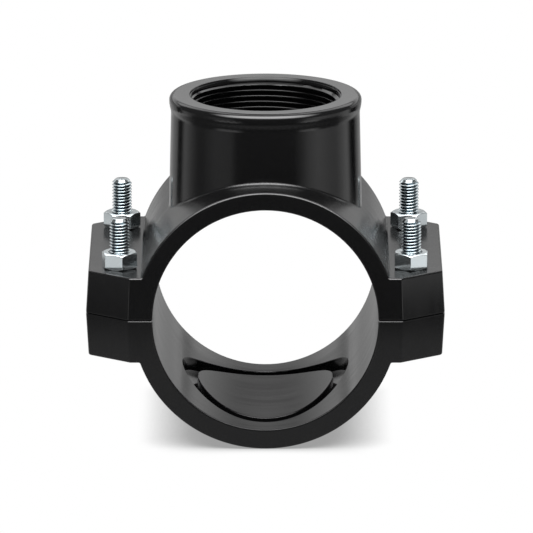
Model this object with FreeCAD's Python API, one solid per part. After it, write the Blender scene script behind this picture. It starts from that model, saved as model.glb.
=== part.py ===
"""Tapping saddle: a two-piece moulded clamp for a 90 mm plastic pipe with a 2 inch female outlet.

Millimetres. The origin is the centre of the pipe's bore, in the plane where the two halves
meet and below the outlet. X runs across the flanges, Y along the pipe, Z up the outlet.
"""
import FreeCAD, Part
import math
import os

from FreeCAD import Vector

# Pipe and ring
pipe_diameter = 90.0
upper_ring_wall = 7.2
lower_ring_wall = 8.0
saddle_length = 106.0
end_draft = 1.0
split_gap = 0.3

# Flanges of each half
flange_width = 18.7
flange_thickness = 17.4
flange_draft = 3.3
corner_land = 1.7
corner_cut_length = 13.2
root_round = 0.8

# Edges of the mouldings
outer_edge_round = 0.8
flange_corner_round = 2.0
split_edge_round = 0.4
bore_edge_round = 0.4

# Outlet branch
outlet_height = 80.7
neck_diameter = 75.9
neck_draft = 1.3
bead_diameter = 77.3
bead_height = 2.6
bead_run_out = 5.0
rim_round = 2.2
branch_root_round = 1.2

# Threaded socket of the outlet
thread_major_diameter = 59.6
thread_length = 27.1
mouth_diameter = 61.6
mouth_bevel_depth = 1.6
waterway_diameter = 50.0

# Outlet seal and its groove in the bore
seal_inner_diameter = 57.0
seal_band = 7.0
seal_thickness = 3.5
seal_edge_round = 0.6

# Relief pocket in the bore of the lower half
pocket_width = 67.2
pocket_length = 80.0
pocket_groove = 6.1
pocket_depth = 4.0
pocket_edge_round = 0.4

# Bolts and nuts
bolt_from_ring = 5.3
bolt_from_end = 19.0
bolt_diameter = 8.0
bolt_length = 45.0
bolt_tip_chamfer = 0.9
hex_across_flats = 13.0
head_height = 5.3
nut_height = 6.5
hex_chamfer_angle = 30.0
hex_face_share = 0.97
nut_countersink = 0.5
bolt_hole_clearance = 0.5
nut_thread_clearance = 0.05
head_pocket_clearance = 0.2
head_seat_depth = 10.0
nut_turns = {"front_left": 40.0, "front_right": 27.0, "back_left": 0.0, "back_right": 55.0}

bore_radius = pipe_diameter / 2
upper_ring_radius = bore_radius + upper_ring_wall
lower_ring_radius = bore_radius + lower_ring_wall
half_length = saddle_length / 2
flange_reach = lower_ring_radius + flange_width
half_gap = split_gap / 2
draft_run = flange_thickness * math.tan(math.radians(flange_draft))
corner_start = lower_ring_radius + corner_land
bolt_x = lower_ring_radius + bolt_from_ring
bolt_y = half_length - bolt_from_end
head_seat_z = -flange_thickness + head_seat_depth

# How far a cutter runs past a face, and how near counts as touching when an edge is looked for
overrun = 1.0
probe = 0.05


def cylinder_along_pipe(radius, length):
    """A round bar on the pipe's axis, centred on the outlet."""
    return Part.makeCylinder(radius, length, Vector(0, -length / 2, 0), Vector(0, 1, 0))


def cylinder_up(diameter, bottom, top, x=0.0, y=0.0):
    return Part.makeCylinder(diameter / 2, top - bottom, Vector(x, y, bottom), Vector(0, 0, 1))


def prism(points, run):
    """A polygon pushed along one vector."""
    face = Part.Face(Part.makePolygon(points + points[:1]))
    return face.extrude(run)


def mirrored(shape, normal):
    return shape.mirror(Vector(0, 0, 0), normal)


def edges_where(shape, test):
    return [edge for edge in shape.Edges if test(edge)]


def edge_middle(edge):
    return edge.valueAt((edge.FirstParameter + edge.LastParameter) / 2)


def half_profile(ring_radius):
    """Section across the pipe: half a disc that runs out into a flat flange on each side."""
    top = flange_thickness
    side_top = flange_reach - draft_run
    # The root arc touches the flange's top and the ring from outside.
    root_z = top + root_round
    root_x = math.sqrt((ring_radius + root_round) ** 2 - root_z ** 2)
    root_centre = Vector(root_x, 0, root_z)
    on_flange = Vector(root_x, 0, top)
    on_ring = root_centre * (ring_radius / (ring_radius + root_round))
    towards_ring = (on_ring - root_centre).normalize()
    towards_flange = (on_flange - root_centre).normalize()
    root_middle = root_centre + (towards_ring + towards_flange).normalize() * root_round
    right_low = Vector(flange_reach, 0, half_gap)
    right_high = Vector(side_top, 0, top)

    def left(point):
        return Vector(-point.x, point.y, point.z)

    edges = [
        Part.LineSegment(left(right_low), right_low),
        Part.LineSegment(right_low, right_high),
        Part.LineSegment(right_high, on_flange),
        Part.Arc(on_flange, root_middle, on_ring),
        Part.Arc(on_ring, Vector(0, 0, ring_radius), left(on_ring)),
        Part.Arc(left(on_ring), left(root_middle), left(on_flange)),
        Part.LineSegment(left(on_flange), left(right_high)),
        Part.LineSegment(left(right_high), left(right_low)),
    ]
    return Part.Face(Part.Wire([edge.toShape() for edge in edges]))


def end_face_y(z):
    """How far the end faces stand from the outlet's axis at a height; they lean in from the split."""
    return half_length - abs(z) * math.tan(math.radians(end_draft))


def between_ends():
    """The space between a half's two end faces."""
    side = flange_reach + overrun
    top = lower_ring_radius + overrun
    points = [
        Vector(-side, -end_face_y(0), 0),
        Vector(-side, end_face_y(0), 0),
        Vector(-side, end_face_y(top), top),
        Vector(-side, -end_face_y(top), top),
    ]
    return prism(points, Vector(2 * side, 0, 0))


def is_on_end(edge):
    """Whether an edge lies in one of the end faces."""
    points = [vertex.Point for vertex in edge.Vertexes]
    points.append(edge_middle(edge))
    return all(abs(abs(point.y) - end_face_y(point.z)) < probe for point in points)


def corner_cutter():
    """Takes the right front corner off a flange, with the same draft as its side."""
    end_y = corner_cut_length - half_length
    slope = (flange_reach - corner_start) / corner_cut_length
    spare = corner_cut_length
    points = [
        Vector(corner_start - slope * spare, -half_length - spare, 0),
        Vector(flange_reach + slope * spare, end_y + spare, 0),
        Vector(flange_reach + slope * spare, -half_length - spare, 0),
    ]
    return prism(points, Vector(-draft_run, 0, flange_thickness))


def is_flange_upright(edge):
    """The standing corners between a flange's side and its cut corners."""
    middle = edge_middle(edge)
    at_side = abs(middle.x) > flange_reach - draft_run
    off_ends = probe < abs(middle.y) < half_length - probe
    return at_side and off_ends and edge.BoundBox.ZLength > flange_thickness / 2


def is_top_outline(edge):
    """The outer edges of the ring's two ends and of the flanges' tops."""
    box = edge.BoundBox
    above_split = box.ZMax > half_gap + probe
    on_flange_top = abs(box.ZMax - flange_thickness) < probe and box.ZLength < probe
    beyond_ring = abs(box.Center.x) > lower_ring_radius
    return (is_on_end(edge) and above_split) or (on_flange_top and beyond_ring)


def is_split_outline(edge):
    """The outer edges of the meeting face."""
    box = edge.BoundBox
    in_face = box.ZLength < probe and abs(box.ZMin - half_gap) < probe
    at_side = abs(edge_middle(edge).x) > corner_start - probe
    return in_face and (is_on_end(edge) or at_side)


def is_bore_end(edge):
    """The two ends of the bore, where the pipe enters."""
    middle = edge_middle(edge)
    return is_on_end(edge) and abs(math.hypot(middle.x, middle.z) - bore_radius) < probe


def moulded_half(ring_radius):
    """Ring and flanges of one half, solid across the bore, with rounded edges."""
    body = half_profile(ring_radius).extrude(Vector(0, saddle_length, 0))
    body.translate(Vector(0, -half_length, 0))
    right_front = corner_cutter()
    fronts = [right_front, mirrored(right_front, Vector(1, 0, 0))]
    backs = [mirrored(cutter, Vector(0, 1, 0)) for cutter in fronts]
    body = body.common(between_ends()).cut(fronts + backs)
    body = body.makeFillet(flange_corner_round, edges_where(body, is_flange_upright))
    body = body.makeFillet(outer_edge_round, edges_where(body, is_top_outline))
    return body.makeFillet(split_edge_round, edges_where(body, is_split_outline))


def bolt_places():
    """Name and centre of each bolt, in the order front left to back right."""
    for row, y in (("front", -bolt_y), ("back", bolt_y)):
        for side, x in (("left", -bolt_x), ("right", bolt_x)):
            yield row + "_" + side, x, y


def bolt_holes(bottom, top):
    hole_diameter = bolt_diameter + 2 * bolt_hole_clearance
    return [cylinder_up(hole_diameter, bottom, top, x, y) for _, x, y in bolt_places()]


def branch_blank():
    """The outlet's outside: a drafted neck that ends in a rounded bead, turned about Z."""
    neck = neck_diameter / 2
    bead = bead_diameter / 2
    bead_bottom = outlet_height - bead_height
    neck_top = bead_bottom - bead_run_out
    base = neck + neck_top * math.tan(math.radians(neck_draft))
    rim_low = outlet_height - rim_round
    rim_middle = Vector(bead - rim_round * (1 - math.sqrt(0.5)), 0, outlet_height)
    rim_middle.z -= rim_round * (1 - math.sqrt(0.5))
    run_out = Part.BezierCurve()
    run_out.setPoles([
        Vector(neck, 0, neck_top),
        Vector(neck, 0, neck_top + bead_run_out / 2),
        Vector(bead, 0, bead_bottom - bead_run_out / 2),
        Vector(bead, 0, bead_bottom),
    ])
    outline = [
        Part.LineSegment(Vector(0, 0, 0), Vector(base, 0, 0)),
        Part.LineSegment(Vector(base, 0, 0), Vector(neck, 0, neck_top)),
        run_out,
        Part.LineSegment(Vector(bead, 0, bead_bottom), Vector(bead, 0, rim_low)),
        Part.Arc(Vector(bead, 0, rim_low), rim_middle, Vector(bead - rim_round, 0, outlet_height)),
        Part.LineSegment(Vector(bead - rim_round, 0, outlet_height), Vector(0, 0, outlet_height)),
        Part.LineSegment(Vector(0, 0, outlet_height), Vector(0, 0, 0)),
    ]
    face = Part.Face(Part.Wire([edge.toShape() for edge in outline]))
    return face.revolve(Vector(0, 0, 0), Vector(0, 0, 1), 360)


def outlet_passage():
    """All that is open through the outlet: bevelled mouth, threaded socket, cone and waterway."""
    mouth = mouth_diameter / 2
    thread = thread_major_diameter / 2
    waterway = waterway_diameter / 2
    bevel_slope = (mouth - thread) / mouth_bevel_depth
    thread_top = outlet_height - mouth_bevel_depth
    thread_bottom = thread_top - thread_length
    cone_bottom = thread_bottom - (thread - waterway) / 2
    points = [
        Vector(0, 0, 0),
        Vector(waterway, 0, 0),
        Vector(waterway, 0, cone_bottom),
        Vector(thread, 0, thread_bottom),
        Vector(thread, 0, thread_top),
        Vector(mouth + bevel_slope * overrun, 0, outlet_height + overrun),
        Vector(0, 0, outlet_height + overrun),
    ]
    face = Part.Face(Part.makePolygon(points + points[:1]))
    return face.revolve(Vector(0, 0, 0), Vector(0, 0, 1), 360)


def seal_band_between(inner_radius, outer_radius):
    """A band that is round from above, and bent to the pipe inside and out."""
    seal_outer = seal_inner_diameter + 2 * seal_band
    ring = cylinder_up(seal_outer, 0, upper_ring_radius)
    ring = ring.cut(cylinder_up(seal_inner_diameter, -probe, upper_ring_radius + probe))
    bent = cylinder_along_pipe(outer_radius, seal_outer)
    bent = bent.cut(cylinder_along_pipe(inner_radius, seal_outer + probe))
    return ring.common(bent)


def upper_half():
    """The half with the outlet: ring, two flanges and branch in one moulding."""
    body = moulded_half(upper_ring_radius)
    branch = branch_blank()
    lower_space = Part.makeBox(2 * flange_reach, saddle_length, half_gap,
                               Vector(-flange_reach, -half_length, 0))
    body = body.fuse(branch.cut(lower_space))

    def is_branch_root(edge):
        middle = edge_middle(edge)
        across = math.hypot(middle.x, middle.y)
        box = edge.BoundBox
        is_round = box.XLength > probe and box.YLength > probe and box.ZLength > probe
        return is_round and across < half_length and middle.z > flange_thickness

    body = body.makeFillet(branch_root_round, edges_where(body, is_branch_root))
    body = body.cut(cylinder_along_pipe(bore_radius, saddle_length + overrun))
    body = body.makeFillet(bore_edge_round, edges_where(body, is_bore_end))
    body = body.cut(outlet_passage())
    body = body.cut(seal_band_between(bore_radius - overrun, bore_radius + seal_thickness))
    return body.cut(bolt_holes(-overrun, flange_thickness + overrun))


def outlet_seal():
    """The rubber ring round the waterway, bent to the pipe and held in its groove."""
    band = seal_band_between(bore_radius, bore_radius + seal_thickness)

    def is_lip(edge):
        middle = edge_middle(edge)
        at_bore = abs(math.hypot(middle.x, middle.z) - bore_radius) < probe
        return at_bore and edge.BoundBox.XLength > probe

    return band.makeFillet(seal_edge_round, edges_where(band, is_lip))


def oval_prism(width, length):
    """A standing oval bar through the bottom of the ring."""
    oval = Part.Ellipse(Vector(0, 0, 0), length / 2, width / 2)
    wire = Part.Wire([oval.toShape()])
    wire.rotate(Vector(0, 0, 0), Vector(0, 0, 1), 90)
    return Part.Face(wire).extrude(Vector(0, 0, -lower_ring_radius))


def relief_pocket():
    """An oval moat with upright walls and a floor that follows the pipe, round an island."""
    outside = oval_prism(pocket_width, pocket_length)
    island = oval_prism(pocket_width - 2 * pocket_groove, pocket_length - 2 * pocket_groove)
    moat = outside.cut(island)
    return moat.common(cylinder_along_pipe(bore_radius + pocket_depth, saddle_length))


def hexagon(across_flats, bottom, top, x, y, turn):
    """A hexagonal bar; a turn of 0 puts a corner towards +X."""
    radius = across_flats / math.sqrt(3)
    points = []
    for corner in range(6):
        angle = math.radians(turn + 60 * corner)
        points.append(Vector(x + radius * math.cos(angle), y + radius * math.sin(angle), bottom))
    return prism(points, Vector(0, 0, top - bottom))


def is_pocket_rim(edge):
    """The edges where the moat's walls come up through the bore."""
    middle = edge_middle(edge)
    in_bore = abs(math.hypot(middle.x, middle.z) - bore_radius) < probe
    box = edge.BoundBox
    is_curved = box.XLength > probe and box.YLength > probe and box.ZLength > probe
    return in_bore and is_curved and max(abs(box.YMin), abs(box.YMax)) < half_length - probe


def lower_half():
    """The plain half: ring and flanges, the relief pocket and the pockets for the heads."""
    body = mirrored(moulded_half(lower_ring_radius), Vector(0, 0, 1))
    body = body.cut(cylinder_along_pipe(bore_radius, saddle_length + overrun))
    body = body.makeFillet(bore_edge_round, edges_where(body, is_bore_end))
    body = body.cut(relief_pocket())
    body = body.makeFillet(pocket_edge_round, edges_where(body, is_pocket_rim))
    pocket_size = hex_across_flats + 2 * head_pocket_clearance
    for _, x, y in bolt_places():
        body = body.cut(hexagon(pocket_size, -flange_thickness - overrun, head_seat_z, x, y, 30))
    return body.cut(bolt_holes(-flange_thickness, overrun))


def chamfered_bar(across_flats, bottom, top, x, y, turn, both_ends):
    """A hexagonal bar whose corners are turned off at the top, or at both ends."""
    corner_radius = across_flats / math.sqrt(3)
    face_radius = across_flats / 2 * hex_face_share
    drop = (corner_radius - face_radius) * math.tan(math.radians(hex_chamfer_angle))
    low = bottom + drop if both_ends else bottom
    low_radius = face_radius if both_ends else corner_radius
    points = [
        Vector(x, y, bottom),
        Vector(x + low_radius, y, bottom),
        Vector(x + corner_radius, y, low),
        Vector(x + corner_radius, y, top - drop),
        Vector(x + face_radius, y, top),
        Vector(x, y, top),
    ]
    if not both_ends:
        points.pop(2)
    blank = Part.Face(Part.makePolygon(points + points[:1]))
    blank = blank.revolve(Vector(x, y, 0), Vector(0, 0, 1), 360)
    return hexagon(across_flats, bottom, top, x, y, turn).common(blank)


def bolt(x, y):
    """A hexagon bolt, head down in its pocket, its shank up through both flanges."""
    head = chamfered_bar(hex_across_flats, 0, head_height, 0, 0, 30, False)
    head.rotate(Vector(0, 0, 0), Vector(1, 0, 0), 180)
    head.translate(Vector(0, 0, head_seat_z))
    tip = head_seat_z + bolt_length
    radius = bolt_diameter / 2
    shank = cylinder_up(bolt_diameter, head_seat_z - probe, tip - bolt_tip_chamfer)
    point = Part.makeCone(radius, radius - bolt_tip_chamfer, bolt_tip_chamfer,
                          Vector(0, 0, tip - bolt_tip_chamfer))
    whole = head.fuse([shank, point]).removeSplitter()
    whole.translate(Vector(x, y, 0))
    return whole


def nut(x, y, turn):
    """A hexagon nut on the flange's top, countersunk where the bolt enters and leaves."""
    bottom = flange_thickness
    top = bottom + nut_height
    radius = bolt_diameter / 2 + nut_thread_clearance
    body = chamfered_bar(hex_across_flats, bottom, top, x, y, turn, True)
    body = body.cut(cylinder_up(2 * radius, bottom - overrun, top + overrun, x, y))
    sink = Part.makeCone(radius, radius + nut_countersink, nut_countersink,
                         Vector(x, y, top - nut_countersink))
    return body.cut(sink)


def build():
    parts = {
        "upper_half": upper_half(),
        "lower_half": lower_half(),
        "outlet_seal": outlet_seal(),
    }
    for place, x, y in bolt_places():
        parts["bolt_" + place] = bolt(x, y)
        parts["nut_" + place] = nut(x, y, nut_turns[place])
    return parts


os.makedirs("parts", exist_ok=True)
for name, shape in build().items():
    shape.exportStep("parts/" + name + ".step")
    print(name, shape.isValid(), len(shape.Solids), round(shape.Volume, 1), len(shape.Faces))
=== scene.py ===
import math

import bmesh
import bpy
from mathutils import Matrix, Vector


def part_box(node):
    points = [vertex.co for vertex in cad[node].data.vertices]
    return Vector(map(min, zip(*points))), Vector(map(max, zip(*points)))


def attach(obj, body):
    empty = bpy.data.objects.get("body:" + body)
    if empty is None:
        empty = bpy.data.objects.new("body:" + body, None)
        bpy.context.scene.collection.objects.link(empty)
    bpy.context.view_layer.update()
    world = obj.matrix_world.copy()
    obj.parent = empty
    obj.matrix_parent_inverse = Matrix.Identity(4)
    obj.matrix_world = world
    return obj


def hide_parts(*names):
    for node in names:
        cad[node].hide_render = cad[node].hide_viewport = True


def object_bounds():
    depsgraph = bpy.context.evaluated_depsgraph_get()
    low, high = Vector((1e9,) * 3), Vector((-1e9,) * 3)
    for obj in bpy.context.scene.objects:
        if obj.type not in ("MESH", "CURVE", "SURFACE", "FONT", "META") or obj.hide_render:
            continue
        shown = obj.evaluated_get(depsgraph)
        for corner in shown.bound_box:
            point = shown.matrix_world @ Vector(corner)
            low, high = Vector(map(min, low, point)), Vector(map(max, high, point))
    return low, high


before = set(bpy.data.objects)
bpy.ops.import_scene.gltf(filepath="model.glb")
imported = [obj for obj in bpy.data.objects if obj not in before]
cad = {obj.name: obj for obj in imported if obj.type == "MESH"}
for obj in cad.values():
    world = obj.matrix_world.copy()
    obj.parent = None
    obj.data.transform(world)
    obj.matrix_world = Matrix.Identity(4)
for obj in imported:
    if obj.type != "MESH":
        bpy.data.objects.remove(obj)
cad_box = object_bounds()

# The two halves.
# Upper half with the outlet and lower half with the relief pocket, each one injection moulding in
# black polypropylene. The steel moulds were turned and polished, so faint lines run round the pipe
# on ring and bore, and round the outlet on its branch; the flanges' tops came off a duller face.
MM = 0.001
black = (0.0052, 0.0052, 0.0055, 1)
black_light = (0.0072, 0.0072, 0.0075, 1)
# Painted shade: a darker black inside the outlet, for the shade in its recess.
black_inside_shade = (0.0012, 0.0012, 0.0013, 1)
polished_roughness = 0.14
dull_roughness = 0.22
roughness_spread = 0.09
# What counts as a flange's top: how far it faces up, its distance from the outlet and its height.
dull_facing = 0.2
dull_distance = 35 * MM
dull_height = 70 * MM
# The branch outside, and the outlet's inside, where painted shade darkens the colour, as a distance
# from its axis and a height.
branch_radius, branch_foot = 41 * MM, 54 * MM
inside_radius, inside_foot = 30.1 * MM, 52 * MM
# Painted light and shade in the pipe's bore: its reflections are made a little stronger than
# elsewhere, weaker towards its bottom, and strong again at the bottom's far end.
bore_limit = 45.8 * MM
bottom_begins, bottom_full = -20 * MM, -35 * MM
far_end_begins, far_end_full = 34 * MM, 46 * MM
usual_gloss = 0.5
bore_painted_reflection = 0.62
bottom_painted_shade = 0.25
far_end_painted_reflection = 0.72
# Turning lines of the moulds, sink marks and the skin's grain.
line_spacing = 4.5 * MM
line_change = 14.0
line_depth = 0.005 * MM
sink_size = 24 * MM
sink_depth = 0.01 * MM
skin_grain = 0.5 * MM
skin_grain_depth = 0.0003 * MM


def add_node(tree, kind, values=(), **settings):
    """A shader node with its settings, and with the values of sockets that nothing feeds."""
    made = tree.nodes.new("ShaderNode" + kind)
    for setting, value in settings.items():
        setattr(made, setting, value)
    for socket, value in dict(values).items():
        made.inputs[socket].default_value = value
    return made


def feed(tree, socket, value):
    """Links a socket to another node's output, or gives it a plain value."""
    if isinstance(value, bpy.types.NodeSocket):
        tree.links.new(value, socket)
    elif value is not None:
        socket.default_value = value


def calculate(tree, operation, first, second=None):
    """The output of a Math node fed by sockets or plain numbers."""
    made = add_node(tree, "Math", operation=operation)
    feed(tree, made.inputs[0], first)
    feed(tree, made.inputs[1], second)
    return made.outputs[0]


def spread(tree, value, low, high, start=0.0, end=1.0, course="LINEAR"):
    """Goes from low to high while the value goes from start to end."""
    made = add_node(tree, "MapRange", {"From Min": start, "From Max": end, "To Min": low,
                                       "To Max": high}, interpolation_type=course)
    tree.links.new(value, made.inputs["Value"])
    return made.outputs["Result"]


def blend(tree, mask, first, second, data_type="RGBA"):
    """A blend of two colours, or of two numbers as FLOAT, either of which may be a socket."""
    made = add_node(tree, "Mix", data_type=data_type)
    for socket, value in zip(("Factor", "A", "B"), (mask, first, second)):
        feed(tree, made.inputs[socket], value)
    return made.outputs["Result"]


def coordinates(tree, kind="Object"):
    """A point's three coordinates, by default in metres in its own object."""
    apart = add_node(tree, "SeparateXYZ")
    tree.links.new(add_node(tree, "TexCoord").outputs[kind], apart.inputs[0])
    return apart.outputs


def from_axis(tree, first, second):
    """The distance from an axis, of the two coordinates across it."""
    return calculate(tree, "SQRT", calculate(tree, "ADD", calculate(tree, "POWER", first, 2.0),
                                             calculate(tree, "POWER", second, 2.0)))


def new_group(name, inputs, outputs):
    """An empty node group with number inputs that have defaults, and number outputs."""
    group = bpy.data.node_groups.new(name, "ShaderNodeTree")
    for socket, value in inputs.items():
        made = group.interface.new_socket(socket, in_out="INPUT", socket_type="NodeSocketFloat")
        made.default_value = value
    for socket in outputs:
        group.interface.new_socket(socket, in_out="OUTPUT", socket_type="NodeSocketFloat")
    return group, group.nodes.new("NodeGroupInput"), group.nodes.new("NodeGroupOutput")


def place_group(tree, group, values):
    """A node group put into a tree, with its values."""
    made = tree.nodes.new("ShaderNodeGroup")
    made.node_tree = group
    for socket, value in values.items():
        made.inputs[socket].default_value = value
    return made


# Grain: fine unevenness of a surface, as a mask and as a height in metres.
grain, grain_in, grain_out = new_group("grain", {"Size": MM, "Depth": 0.001 * MM},
                                       ["Mask", "Height"])
noise = add_node(grain, "TexNoise", {"Detail": 3.0, "Roughness": 0.6})
grain.links.new(add_node(grain, "TexCoord").outputs["Object"], noise.inputs["Vector"])
grain.links.new(calculate(grain, "DIVIDE", 1.0, grain_in.outputs["Size"]), noise.inputs["Scale"])
grain.links.new(noise.outputs["Fac"], grain_out.inputs["Mask"])
grain.links.new(calculate(grain, "MULTIPLY", noise.outputs["Fac"], grain_in.outputs["Depth"]),
                grain_out.inputs["Height"])


def new_material(name):
    """A material with its tree and its Principled shader."""
    made = bpy.data.materials.new(name)
    made.use_nodes = True
    return made, made.node_tree, made.node_tree.nodes["Principled BSDF"]


def bump(tree, shader, height):
    """Feeds a height in metres to the shader's normal."""
    made = add_node(tree, "Bump", {"Strength": 1.0, "Distance": 1.0})
    tree.links.new(height, made.inputs["Height"])
    tree.links.new(made.outputs["Normal"], shader.inputs["Normal"])


polypropylene, tree, shader = new_material("black_polypropylene")
across, along, up = coordinates(tree)
from_outlet = from_axis(tree, across, along)
from_pipe = from_axis(tree, across, up)

on_branch = calculate(tree, "MULTIPLY", calculate(tree, "LESS_THAN", from_outlet, branch_radius),
                      calculate(tree, "GREATER_THAN", up, branch_foot))
lathe_travel = blend(tree, on_branch, along, up, "FLOAT")
lines_at = add_node(tree, "CombineXYZ")
tree.links.new(calculate(tree, "DIVIDE", lathe_travel, line_spacing), lines_at.inputs["X"])
tree.links.new(calculate(tree, "MULTIPLY", across, line_change), lines_at.inputs["Y"])
tree.links.new(calculate(tree, "MULTIPLY", up, line_change), lines_at.inputs["Z"])
lines = add_node(tree, "TexNoise", {"Scale": 1.0, "Detail": 4.0, "Roughness": 0.7})
tree.links.new(lines_at.outputs[0], lines.inputs["Vector"])
sink = place_group(tree, grain, {"Size": sink_size, "Depth": sink_depth})
skin = place_group(tree, grain, {"Size": skin_grain, "Depth": skin_grain_depth})
line_height = calculate(tree, "MULTIPLY", lines.outputs["Fac"], line_depth)
heights = calculate(tree, "ADD", calculate(tree, "ADD", line_height, sink.outputs["Height"]),
                    skin.outputs["Height"])
bump(tree, shader, heights)

facing = add_node(tree, "SeparateXYZ")
tree.links.new(add_node(tree, "NewGeometry").outputs["True Normal"], facing.inputs[0])
at_height = calculate(tree, "MULTIPLY", calculate(tree, "GREATER_THAN", up, 0.0),
                      calculate(tree, "LESS_THAN", up, dull_height))
on_flange = calculate(tree, "MULTIPLY", at_height,
                      calculate(tree, "GREATER_THAN", from_outlet, dull_distance))
dull = calculate(tree, "MULTIPLY", on_flange,
                 calculate(tree, "GREATER_THAN", facing.outputs["Z"], dull_facing))
duller = spread(tree, dull, 0.0, dull_roughness - polished_roughness)
uneven = spread(tree, lines.outputs["Fac"], -roughness_spread, roughness_spread)
roughness = calculate(tree, "ADD", calculate(tree, "ADD", duller, uneven), polished_roughness)
tree.links.new(roughness, shader.inputs["Roughness"])

# Painted light and shade: the bore's reflection strength is set by place, weaker at its bottom and
# stronger at its far end.
bottom = spread(tree, up, 0.0, 1.0, bottom_begins, bottom_full)
at_bottom = spread(tree, along, bottom_painted_shade, far_end_painted_reflection, far_end_begins, far_end_full)
in_bore = calculate(tree, "LESS_THAN", from_pipe, bore_limit)
gloss = blend(tree, in_bore, usual_gloss, blend(tree, bottom, bore_painted_reflection, at_bottom, "FLOAT"),
              "FLOAT")
tree.links.new(gloss, shader.inputs["Specular IOR Level"])

# Painted shade: inside the outlet, on thread and mouth, the colour is darker, for the shade in the
# recess.
inside = calculate(tree, "MULTIPLY", calculate(tree, "LESS_THAN", from_outlet, inside_radius),
                   calculate(tree, "GREATER_THAN", up, inside_foot))
plain_black = blend(tree, sink.outputs["Mask"], black, black_light)
tree.links.new(blend(tree, inside, plain_black, black_inside_shade), shader.inputs["Base Color"])


def dress(obj, material):
    """Puts one material on an object in place of what it has."""
    obj.data.materials.clear()
    obj.data.materials.append(material)


for half in ("upper_half", "lower_half"):
    dress(cad[half], polypropylene)

# The outlet's thread and mouth.
# A 2 inch parallel pipe thread, 11 turns an inch, and the stepped bevel it begins at, both cored
# into the upper half by a screw that is wound out of the mould, so they are the moulding's own
# plastic. The last turn runs out above the waterway's cone.
outlet_pitch = 25.4 / 11 * MM
outlet_major = 29.8 * MM
outlet_depth = 1.45 * MM
outlet_start = 78.6 * MM
outlet_end = 53.1 * MM
outlet_back = 0.6 * MM
outlet_sink = 0.03 * MM
outlet_steps = 144
start_steepness = 2
thread_crease = 50
mouth_crease = 35
merge_distance = 1e-7
# One turn's outline: share of the pitch, and share of the depth that the ridge stands in.
outlet_ridge = [(0.0, 0.0), (0.12, 0.02), (0.4, 0.9), (0.43, 0.96), (0.46, 0.99), (0.54, 0.99),
                (0.57, 0.96), (0.6, 0.9), (0.88, 0.02)]
# The mouth's outline on its bevel, as radius and height in mm: two small steps left by the core,
# and then the two heights of its back inside the wall.
mouth_steps = [(30.79, 80.68), (30.52, 80.63), (30.28, 79.98), (30.05, 79.93), (29.76, 79.13),
               (29.74, 78.9)]
mouth_back_heights = (78.9, 80.0)


def height_in(outline, share):
    """The outline's height at a share of the pitch, straight between its points."""
    points = outline + [(1.0, outline[0][1])]
    for (near, low), (far, high) in zip(points, points[1:]):
        if near <= share <= far:
            return low + (high - low) * (share - near) / (far - near)


def thread_columns(mesh, outline, radius_at, pitch, bottom, top, steps):
    """Columns of points up a right-hand thread; radius_at(ridge height, z) gives a radius."""
    turns = math.ceil((top - bottom) / pitch) + 1
    columns = []
    for step in range(steps):
        angle = 2 * math.pi * step / steps
        column = []
        for turn in range(-1, turns + 1):
            for share, _ in outline:
                z = bottom + pitch * (turn + share + step / steps)
                z = min(max(z, bottom), top)
                phase = ((z - bottom) / pitch - step / steps) % 1.0
                radius = radius_at(height_in(outline, phase), z)
                point = (radius * math.cos(angle), radius * math.sin(angle), z)
                column.append(mesh.verts.new(point))
        columns.append(column)
    return columns


def skin_columns(mesh, columns, shift):
    """Faces between neighbouring columns; the last meets the first one a turn higher up."""
    last = len(columns[0]) - 1
    for step, column in enumerate(columns):
        ahead = columns[(step + 1) % len(columns)]
        rise = shift if step == len(columns) - 1 else 0
        for row in range(last):
            low, high = min(row + rise, last), min(row + rise + 1, last)
            corners = [column[row], ahead[low], ahead[high], column[row + 1]]
            if len(set(corners)) == 4:
                mesh.faces.new(corners)
            elif len(set(corners)) == 3:
                mesh.faces.new(list(dict.fromkeys(corners)))


def ring_of_points(mesh, radius, z, steps, turn_degrees=0):
    """Points round the upright axis."""
    angles = [math.radians(turn_degrees) + 2 * math.pi * step / steps for step in range(steps)]
    return [mesh.verts.new((radius * math.cos(a), radius * math.sin(a), z)) for a in angles]


def skin_rings(mesh, lower, upper):
    """Faces between two rings of as many points."""
    for step in range(len(lower)):
        ahead = (step + 1) % len(lower)
        mesh.faces.new([lower[step], lower[ahead], upper[ahead], upper[step]])


def finished_piece(mesh, name, material, crease_degrees):
    """An object from a bmesh: doubled points merged, faces outward, edges sharp past an angle."""
    bmesh.ops.remove_doubles(mesh, verts=mesh.verts, dist=merge_distance)
    bmesh.ops.dissolve_degenerate(mesh, edges=mesh.edges, dist=merge_distance)
    bmesh.ops.recalc_face_normals(mesh, faces=mesh.faces)
    data = bpy.data.meshes.new(name)
    mesh.to_mesh(data)
    mesh.free()
    data.shade_smooth()
    data.set_sharp_from_angle(angle=math.radians(crease_degrees))
    data.materials.append(material)
    made = bpy.data.objects.new(name, data)
    bpy.context.scene.collection.objects.link(made)
    return made


def outlet_radius(ridge, z):
    """The thread's inside radius, with its first and last turn run out."""
    run_out = min(start_steepness * (outlet_start - z), z - outlet_end)
    return outlet_major + outlet_sink - min(ridge * outlet_depth, run_out)


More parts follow.
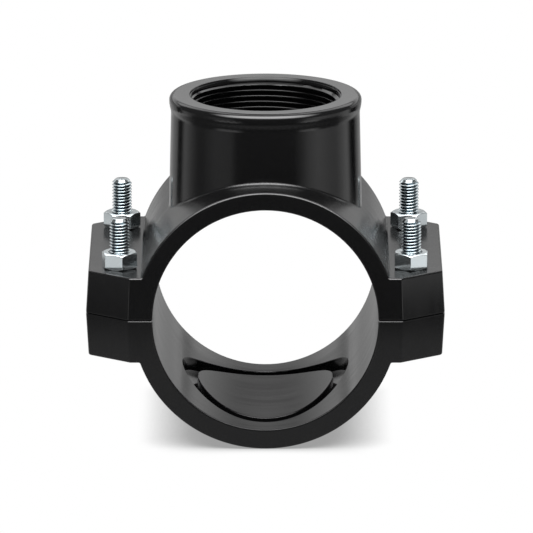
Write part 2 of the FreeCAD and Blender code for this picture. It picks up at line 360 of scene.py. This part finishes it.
mesh = bmesh.new()
columns = thread_columns(mesh, outlet_ridge, outlet_radius, outlet_pitch, outlet_end, outlet_start,
                         outlet_steps)
skin_columns(mesh, columns, len(outlet_ridge))
back_low = ring_of_points(mesh, outlet_major + outlet_back, outlet_end, outlet_steps)
back_high = ring_of_points(mesh, outlet_major + outlet_back, outlet_start, outlet_steps)
skin_rings(mesh, back_low, [column[0] for column in columns])
skin_rings(mesh, [column[-1] for column in columns], back_high)
skin_rings(mesh, back_high, back_low)
outlet_thread = finished_piece(mesh, "outlet_thread", polypropylene, thread_crease)
mesh = bmesh.new()
rings = [ring_of_points(mesh, radius * MM, z * MM, outlet_steps) for radius, z in mouth_steps]
rings += [ring_of_points(mesh, outlet_major + 2 * outlet_back, z * MM, outlet_steps)
          for z in mouth_back_heights]
for above, below in zip(rings, rings[1:] + rings[:1]):
    skin_rings(mesh, below, above)
outlet_mouth = finished_piece(mesh, "outlet_mouth", polypropylene, mouth_crease)
for piece in (outlet_thread, outlet_mouth):
    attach(piece, "upper")

# The outlet's seal.
# A flat ring of black rubber bent to the pipe, pressed into its groove round the waterway, where
# the pipe squeezes it. It is matt from the press tool and a little chalky.
rubber_black = (0.010, 0.010, 0.010, 1)
rubber_chalky = (0.022, 0.022, 0.021, 1)
rubber_smooth, rubber_rough = 0.5, 0.75
chalk_size = 2.5 * MM
chalk_height = 0.004 * MM
pore_size = 0.25 * MM
pore_depth = 0.006 * MM

rubber, tree, shader = new_material("seal_rubber")
chalk = place_group(tree, grain, {"Size": chalk_size, "Depth": chalk_height})
pores = place_group(tree, grain, {"Size": pore_size, "Depth": pore_depth})
tree.links.new(blend(tree, chalk.outputs["Mask"], rubber_black, rubber_chalky),
               shader.inputs["Base Color"])
tree.links.new(spread(tree, pores.outputs["Mask"], rubber_smooth, rubber_rough),
               shader.inputs["Roughness"])
bump(tree, shader, calculate(tree, "ADD", chalk.outputs["Height"], pores.outputs["Height"]))
dress(cad["outlet_seal"], rubber)

# The bolts.
# Four M8 hexagon bolts threaded to the head, in bright zinc-plated steel: the thread is rolled, the
# tip bevelled and the head cold forged. The heads sit in pockets under the lower half's flanges.
zinc_pale = (0.76, 0.8, 0.81, 1)
zinc_deep = (0.52, 0.59, 0.62, 1)
# Painted shade: the thread's valleys are coloured a dark bluish grey, for the shade that lies in
# them.
zinc_valley_shade = (0.13, 0.18, 0.21, 1)
zinc_bright, zinc_worn = 0.12, 0.3
cloud_size = 3.5 * MM
cloud_depth = 0.0015 * MM
crystal_size = 0.3 * MM
crystal_depth = 0.0002 * MM
valley_radius = 3.4 * MM
flank_radius = 3.8 * MM
tip_bevel = 1.4 * MM
bolt_pitch = 1.25 * MM
bolt_crest = 3.97 * MM
bolt_thread_depth = 0.72 * MM
tip_radius = 2.8 * MM
tip_round = 0.22 * MM
# The tip's rounding: share of its height, and share of its width that is gone there.
tip_outline = [(0.6, 0.3), (1.0, 1.0)]
head_height = 5.3 * MM
head_turn = 30
across_flats = 13 * MM
face_share = 0.97
chamfer_slope = math.tan(math.radians(30))
hex_edge_round = 0.14 * MM
hex_crease = 25
bolt_steps = 48
bolt_ridge = [(0.0, 0.0), (0.09, 0.0), (0.41, 0.93), (0.45, 1.0), (0.55, 1.0), (0.59, 0.93),
              (0.91, 0.0)]

zinc, tree, shader = new_material("zinc_plated_steel")
shader.inputs["Metallic"].default_value = 1.0
cloud = place_group(tree, grain, {"Size": cloud_size, "Depth": cloud_depth})
crystals = place_group(tree, grain, {"Size": crystal_size, "Depth": crystal_depth})
across, along, up = coordinates(tree)
# Painted shade fills the thread's valleys, from the valley radius out to the flanks, up to the
# tip's bevel.
valley = spread(tree, from_axis(tree, across, along), 1.0, 0.0, valley_radius, flank_radius)
below_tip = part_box("bolt_front_left")[1].z - tip_bevel
on_thread = calculate(tree, "MULTIPLY", calculate(tree, "GREATER_THAN", up, 0.0),
                      calculate(tree, "LESS_THAN", up, below_tip))
valley_shade = calculate(tree, "MULTIPLY", valley, on_thread)
plating = blend(tree, cloud.outputs["Mask"], zinc_deep, zinc_pale)
tree.links.new(blend(tree, valley_shade, plating, zinc_valley_shade), shader.inputs["Base Color"])
worn = calculate(tree, "MULTIPLY", cloud.outputs["Mask"], crystals.outputs["Mask"])
tree.links.new(spread(tree, worn, zinc_bright, zinc_worn), shader.inputs["Roughness"])
bump(tree, shader, calculate(tree, "ADD", cloud.outputs["Height"], crystals.outputs["Height"]))


def hex_reach(angle, turn_degrees):
    """How far a hexagon's side is from its centre in one direction."""
    from_face = (math.degrees(angle) - turn_degrees) % 60 - 30
    return across_flats / 2 / math.cos(math.radians(from_face))


def hex_rings(mesh, bottom, top, turn_degrees, steps, both_ends):
    """The rings of points up a hexagon's outside, its corners turned off at one end or both."""
    face = across_flats / 2 * face_share
    rings = []
    angles = [math.radians(turn_degrees) + 2 * math.pi * step / steps for step in range(steps)]

    def ring(radii, heights):
        """Adds one ring of points."""
        rings.append([mesh.verts.new((r * math.cos(a), r * math.sin(a), z))
                      for a, r, z in zip(angles, radii, heights)])

    reach = [hex_reach(angle, turn_degrees) for angle in angles]
    drop = [(r - face) * chamfer_slope for r in reach]
    if both_ends:
        ring([face] * steps, [bottom] * steps)
        ring(reach, [bottom + d for d in drop])
    else:
        ring(reach, [bottom] * steps)
    ring(reach, [top - d for d in drop])
    ring([face] * steps, [top] * steps)
    return rings


def soften(piece, width):
    """Rounds a piece's sharp edges a little, as forging and plating leave them."""
    rounding = piece.modifiers.new("edge_round", "BEVEL")
    rounding.width = width
    rounding.segments = 2
    rounding.limit_method = "ANGLE"
    rounding.angle_limit = math.radians(hex_crease)


places = [row + "_" + side for row in ("front", "back") for side in ("left", "right")]
for spot in places:
    low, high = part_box("bolt_" + spot)
    centre = Vector(((low.x + high.x) / 2, (low.y + high.y) / 2, 0))
    seat = low.z + head_height

    def bolt_radius(ridge, z):
        """The thread's radius, cut down by the bevel near the tip."""
        bevel = tip_radius + high.z - tip_round - z
        return min(bolt_crest - (1 - ridge) * bolt_thread_depth, bevel)

    mesh = bmesh.new()
    columns = thread_columns(mesh, bolt_ridge, bolt_radius, bolt_pitch, seat, high.z - tip_round,
                             bolt_steps)
    skin_columns(mesh, columns, len(bolt_ridge))
    below = [column[-1] for column in columns]
    for lift, draw_in in tip_outline:
        above = ring_of_points(mesh, tip_radius - draw_in * tip_round,
                               high.z - (1 - lift) * tip_round, bolt_steps)
        skin_rings(mesh, below, above)
        below = above
    mesh.faces.new(below)
    mesh.faces.new([column[0] for column in columns][::-1])
    shank = finished_piece(mesh, "bolt_thread_" + spot, zinc, thread_crease)
    shank.location = centre
    # The head is made upside down, its turned-off corners upward, and then turned over.
    mesh = bmesh.new()
    rings = hex_rings(mesh, -seat, -low.z, head_turn, bolt_steps, False)
    for lower, upper in zip(rings, rings[1:]):
        skin_rings(mesh, lower, upper)
    mesh.faces.new(rings[-1])
    mesh.faces.new(rings[0][::-1])
    bmesh.ops.rotate(mesh, verts=mesh.verts, matrix=Matrix.Rotation(math.pi, 3, "X"))
    head = finished_piece(mesh, "bolt_head_" + spot, zinc, hex_crease)
    soften(head, hex_edge_round)
    head.location = centre
    for piece in (shank, head):
        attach(piece, "lower")
    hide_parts("bolt_" + spot)
    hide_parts("bolt_" + spot)

# The nuts.
# Four M8 hexagon nuts, cold forged, tapped and zinc plated, countersunk on both faces. They were
# run down with a spanner and stopped at different turns, and each one turns by itself here.
nut_turns = {"front_left": 40, "front_right": 27, "back_left": 0, "back_right": 55}
nut_bore = 4.05 * MM
countersink = 0.55 * MM
nut_steps = 96

for spot in places:
    low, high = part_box("nut_" + spot)
    mesh = bmesh.new()
    rings = hex_rings(mesh, low.z, high.z, nut_turns[spot], nut_steps, True)
    for radius, z in ((nut_bore + countersink, high.z), (nut_bore, high.z - countersink),
                      (nut_bore, low.z + countersink), (nut_bore + countersink, low.z)):
        rings.append(ring_of_points(mesh, radius, z, nut_steps, nut_turns[spot]))
    for lower, upper in zip(rings, rings[1:] + rings[:1]):
        skin_rings(mesh, lower, upper)
    nut = finished_piece(mesh, "hex_nut_" + spot, zinc, hex_crease)
    soften(nut, hex_edge_round)
    nut.location = Vector(((low.x + high.x) / 2, (low.y + high.y) / 2, 0))
    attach(nut, "nut_" + spot)
    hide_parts("nut_" + spot)

# The table.
# A white sheet under the saddle. To the camera it is white, with a painted soft shadow where the
# ring touches it. In reflections it shows painted light and shade: a lit sheet at the sides and
# behind, greyer near the saddle, with two painted highlights in front, and dark further in front
# like a dim room.
table_z = cad_box[0].z
table_side = 2.4
sheet_white = (0.85, 0.85, 0.85, 1)
sheet_roughness = 0.8
contact_reach = 24 * MM
# Painted shadow: the grey of the sheet to the camera, by how open it lies: in the shadow, and in
# the light.
shadow_greys = [(0.25, 0.34), (0.8, 1.0)]
# Painted light and shade on the sheet, seen only in reflections, in four rings from the saddle
# outward:
# the distances over which a ring begins, and then degrees round from the front, left below zero,
# with their greys.
# The two patches over 1 in the third ring are painted highlights in front, which the nuts' sides
# mirror.
painted_sheet_rings = [
    ((0.0, 0.0), [(-180, 0.35), (-115, 0.35), (-75, 0.36), (75, 0.36), (115, 0.35), (180, 0.35)]),
    ((0.2, 0.25), [(-180, 0.36), (-115, 0.4), (-96, 0.08), (-36, 0.08), (-22, 0.03), (22, 0.03),
                   (36, 0.06), (96, 0.06), (115, 0.4), (180, 0.36)]),
    ((0.305, 0.34), [(-180, 0.4), (-140, 0.8), (-108, 0.8), (-96, 0.08), (-64, 0.08),
                     (-54, 1.2), (-34, 1.2), (-26, 0.04), (38, 0.04), (46, 1.4), (60, 1.4),
                     (70, 0.06), (96, 0.06), (106, 0.7), (130, 0.7), (180, 0.4)]),
    ((0.39, 0.42), [(-180, 0.6), (-156, 0.52), (-144, 0.47), (-132, 0.4), (-128, 0.03),
                    (-120, 0.0), (-116, 0.3), (-112, 0.62), (-108, 0.6), (-102, 0.45),
                    (-94, 0.27), (-88, 0.15), (-80, 0.13), (-62, 0.36), (-42, 0.34),
                    (-34, 0.05), (34, 0.05), (44, 0.27), (52, 0.6), (65, 0.85), (84, 0.53),
                    (93, 0.46), (108, 0.74), (114, 0.78), (119, 0.35), (123, 0.0), (134, 0.0),
                    (139, 0.22), (149, 0.38), (180, 0.55)]),
]


def ramp(tree, value, stops):
    """A ColorRamp of greys fed by a value."""
    made = add_node(tree, "ValToRGB")
    tree.links.new(value, made.inputs[0])
    elements = made.color_ramp.elements
    while len(elements) < len(stops):
        elements.new(0.5)
    for element, (position, grey) in zip(elements, stops):
        element.position = position
        element.color = (grey, grey, grey, 1)
    return made.outputs["Color"]


def flat_panel(name, low, high):
    """A flat rectangle between two opposite corners, either level or facing the front."""
    mesh = bmesh.new()
    corners = [low, (high[0], low[1], low[2]), high, (low[0], high[1], high[2])]
    mesh.faces.new([mesh.verts.new(corner) for corner in corners])
    data = bpy.data.meshes.new(name)
    mesh.to_mesh(data)
    mesh.free()
    made = bpy.data.objects.new(name, data)
    bpy.context.scene.collection.objects.link(made)
    return made


def add_glow(tree, colour=None, strength=None):
    """An Emission shader; what isn't given stays white and 1."""
    made = add_node(tree, "Emission")
    feed(tree, made.inputs["Color"], colour)
    feed(tree, made.inputs["Strength"], strength)
    return made.outputs[0]


def choose(tree, mask, first, second):
    """The first shader, or the second one where the mask is 1."""
    made = add_node(tree, "MixShader")
    for socket, value in zip(made.inputs, (mask, first, second)):
        tree.links.new(value, socket)
    return made.outputs[0]


table = flat_panel("table", (-table_side, -table_side, table_z),
                   (table_side, table_side, table_z))

sheet, tree, shader = new_material("white_sheet")
shader.inputs["Base Color"].default_value = sheet_white
shader.inputs["Roughness"].default_value = sheet_roughness
shader.inputs["Specular IOR Level"].default_value = 0.0
across, along, _ = coordinates(tree)
towards_front = calculate(tree, "MULTIPLY", along, -1.0)
angle = calculate(tree, "ARCTAN2", across, towards_front)
share = calculate(tree, "ADD", calculate(tree, "DIVIDE", angle, 2 * math.pi), 0.5)
out = from_axis(tree, across, along)
painted_reflection_grey = None
for (begin, full), stops in painted_sheet_rings:
    grey = ramp(tree, share, [((degrees + 180) / 360, value) for degrees, value in stops])
    if painted_reflection_grey:
        in_ring = spread(tree, out, 0.0, 1.0, begin, full, "SMOOTHSTEP")
        grey = blend(tree, in_ring, painted_reflection_grey, grey)
    painted_reflection_grey = grey
# Painted shadow for the camera, from how open the sheet lies near the saddle.
touch = add_node(tree, "AmbientOcclusion", {"Distance": contact_reach}, samples=16)
painted_shadow_grey = ramp(tree, touch.outputs["AO"], shadow_greys)
path = add_node(tree, "LightPath")
# Painted reflections: in gloss the sheet glows with its painted rings.
for_mirrors = choose(tree, path.outputs["Is Glossy Ray"], shader.outputs[0],
                     add_glow(tree, painted_reflection_grey))
for_camera = choose(tree, path.outputs["Is Camera Ray"], for_mirrors, add_glow(tree, painted_shadow_grey))
tree.links.new(for_camera, tree.nodes["Material Output"].inputs["Surface"])
dress(table, sheet)

# The studio.
# A white backdrop behind the saddle, brightest at the height that the outlet's rim mirrors, in a
# dim room. A wide softbox hangs above the camera, with a smaller one on each side and three
# behind, overhead and to both sides.
backdrop_y = 1.1
backdrop_side = 1.6
backdrop_top = 0.72
backdrop_greys = [(0.0, 0.2), (0.06, 0.25), (0.1, 0.55), (0.2, 0.5), (0.3, 0.38), (0.35, 0.22),
                  (0.41, 0.18), (0.43, 0.45), (0.46, 0.5), (0.485, 1.0), (0.52, 1.0), (0.6, 0.95),
                  (0.74, 0.9), (0.88, 0.2), (1.0, 0.12)]
room_grey = (0.14, 0.14, 0.14, 1)
white = (1, 1, 1, 1)
softbox_distance = 1.3
main_elevation = 55

backdrop = flat_panel("backdrop", (-backdrop_side, backdrop_y, table_z),
                      (backdrop_side, backdrop_y, backdrop_top))
backdrop.visible_camera = False
backdrop.visible_shadow = False
paper, tree, shader = new_material("white_backdrop")
tree.nodes.remove(shader)
up = coordinates(tree, "Generated")["Z"]
tree.links.new(add_glow(tree, ramp(tree, up, backdrop_greys)),
               tree.nodes["Material Output"].inputs["Surface"])
dress(backdrop, paper)

world = bpy.data.worlds.new("studio")
bpy.context.scene.world = world
world.use_nodes = True
tree = world.node_tree
room = tree.nodes["Background"]
room.inputs["Color"].default_value = room_grey
behind_all = add_node(tree, "Background", {"Color": white})
path = add_node(tree, "LightPath")
either = choose(tree, path.outputs["Is Camera Ray"], room.outputs[0], behind_all.outputs[0])
tree.links.new(either, tree.nodes["World Output"].inputs["Surface"])


def hang(obj, azimuth, elevation, distance):
    """Hangs a lamp or a screen facing the saddle; azimuth 0 is in front."""
    turn, rise = math.radians(azimuth), math.radians(elevation)
    away = Vector((math.sin(turn) * math.cos(rise), -math.cos(turn) * math.cos(rise),
                   math.sin(rise)))
    obj.location = away * distance
    obj.rotation_euler = away.to_track_quat("Z", "Y").to_euler()


def softbox(name, azimuth, elevation, width, height, brightness):
    """A softbox that hangs facing the saddle, of an even brightness given as its radiance."""
    light = bpy.data.lights.new(name, "AREA")
    light.shape = "RECTANGLE"
    light.size = width
    light.size_y = height
    light.energy = brightness * math.pi * width * height
    lamp = bpy.data.objects.new(name, light)
    bpy.context.scene.collection.objects.link(lamp)
    hang(lamp, azimuth, elevation, softbox_distance)
    return lamp


softbox("softbox_above", 0, main_elevation, 1.6, 0.9, 3.0).visible_glossy = False
for side, azimuth in (("left", -80), ("right", 80)):
    softbox("softbox_" + side, azimuth, 25, 0.7, 0.8, 2.0).visible_glossy = False
softbox("softbox_behind", 180, 73, 1.0, 0.4, 1.2)
for side, azimuth in (("left", -148), ("right", 148)):
    softbox("softbox_behind_" + side, azimuth, 48, 0.7, 1.0, 1.5)

# The upper softbox's white cloth, which gloss and metal mirror: it fades towards its edges.
cloth_half_width, cloth_half_height = 2.0, 1.0
cloth_distance = 1.35
cloth_brightness = 11.0
cloth_even = 0.15
cloth = flat_panel("softbox_cloth", (-cloth_half_width, -cloth_half_height, 0),
                   (cloth_half_width, cloth_half_height, 0))
hang(cloth, 0, main_elevation, cloth_distance)
for unseen in ("visible_camera", "visible_diffuse", "visible_shadow"):
    setattr(cloth, unseen, False)
white_cloth, tree, shader = new_material("white_cloth")
tree.nodes.remove(shader)
across, upward, _ = coordinates(tree)
brightness = cloth_brightness
for from_middle, half in ((across, cloth_half_width), (upward, cloth_half_height)):
    fade = spread(tree, calculate(tree, "ABSOLUTE", from_middle), 1.0, 0.0, cloth_even * half, half,
                  "SMOOTHSTEP")
    brightness = calculate(tree, "MULTIPLY", fade, brightness)
tree.links.new(add_glow(tree, strength=brightness),
               tree.nodes["Material Output"].inputs["Surface"])
dress(cloth, white_cloth)

# The camera: a long lens a little above the outlet, straight in front.
aim = Vector((0.000438, 0, 0.009192))
distance = 3.70215
elevation = math.radians(13.983)
camera_data = bpy.data.cameras.new("camera")
camera_data.sensor_width = 36
camera_data.lens = 619.68
camera_data.clip_end = 50
camera = bpy.data.objects.new("camera", camera_data)
bpy.context.scene.collection.objects.link(camera)
camera.location = aim + Vector((0, -math.cos(elevation), math.sin(elevation))) * distance
camera.rotation_euler = (math.pi / 2 - elevation, 0, 0)
bpy.context.scene.camera = camera
bpy.context.scene.view_settings.view_transform = "Standard"
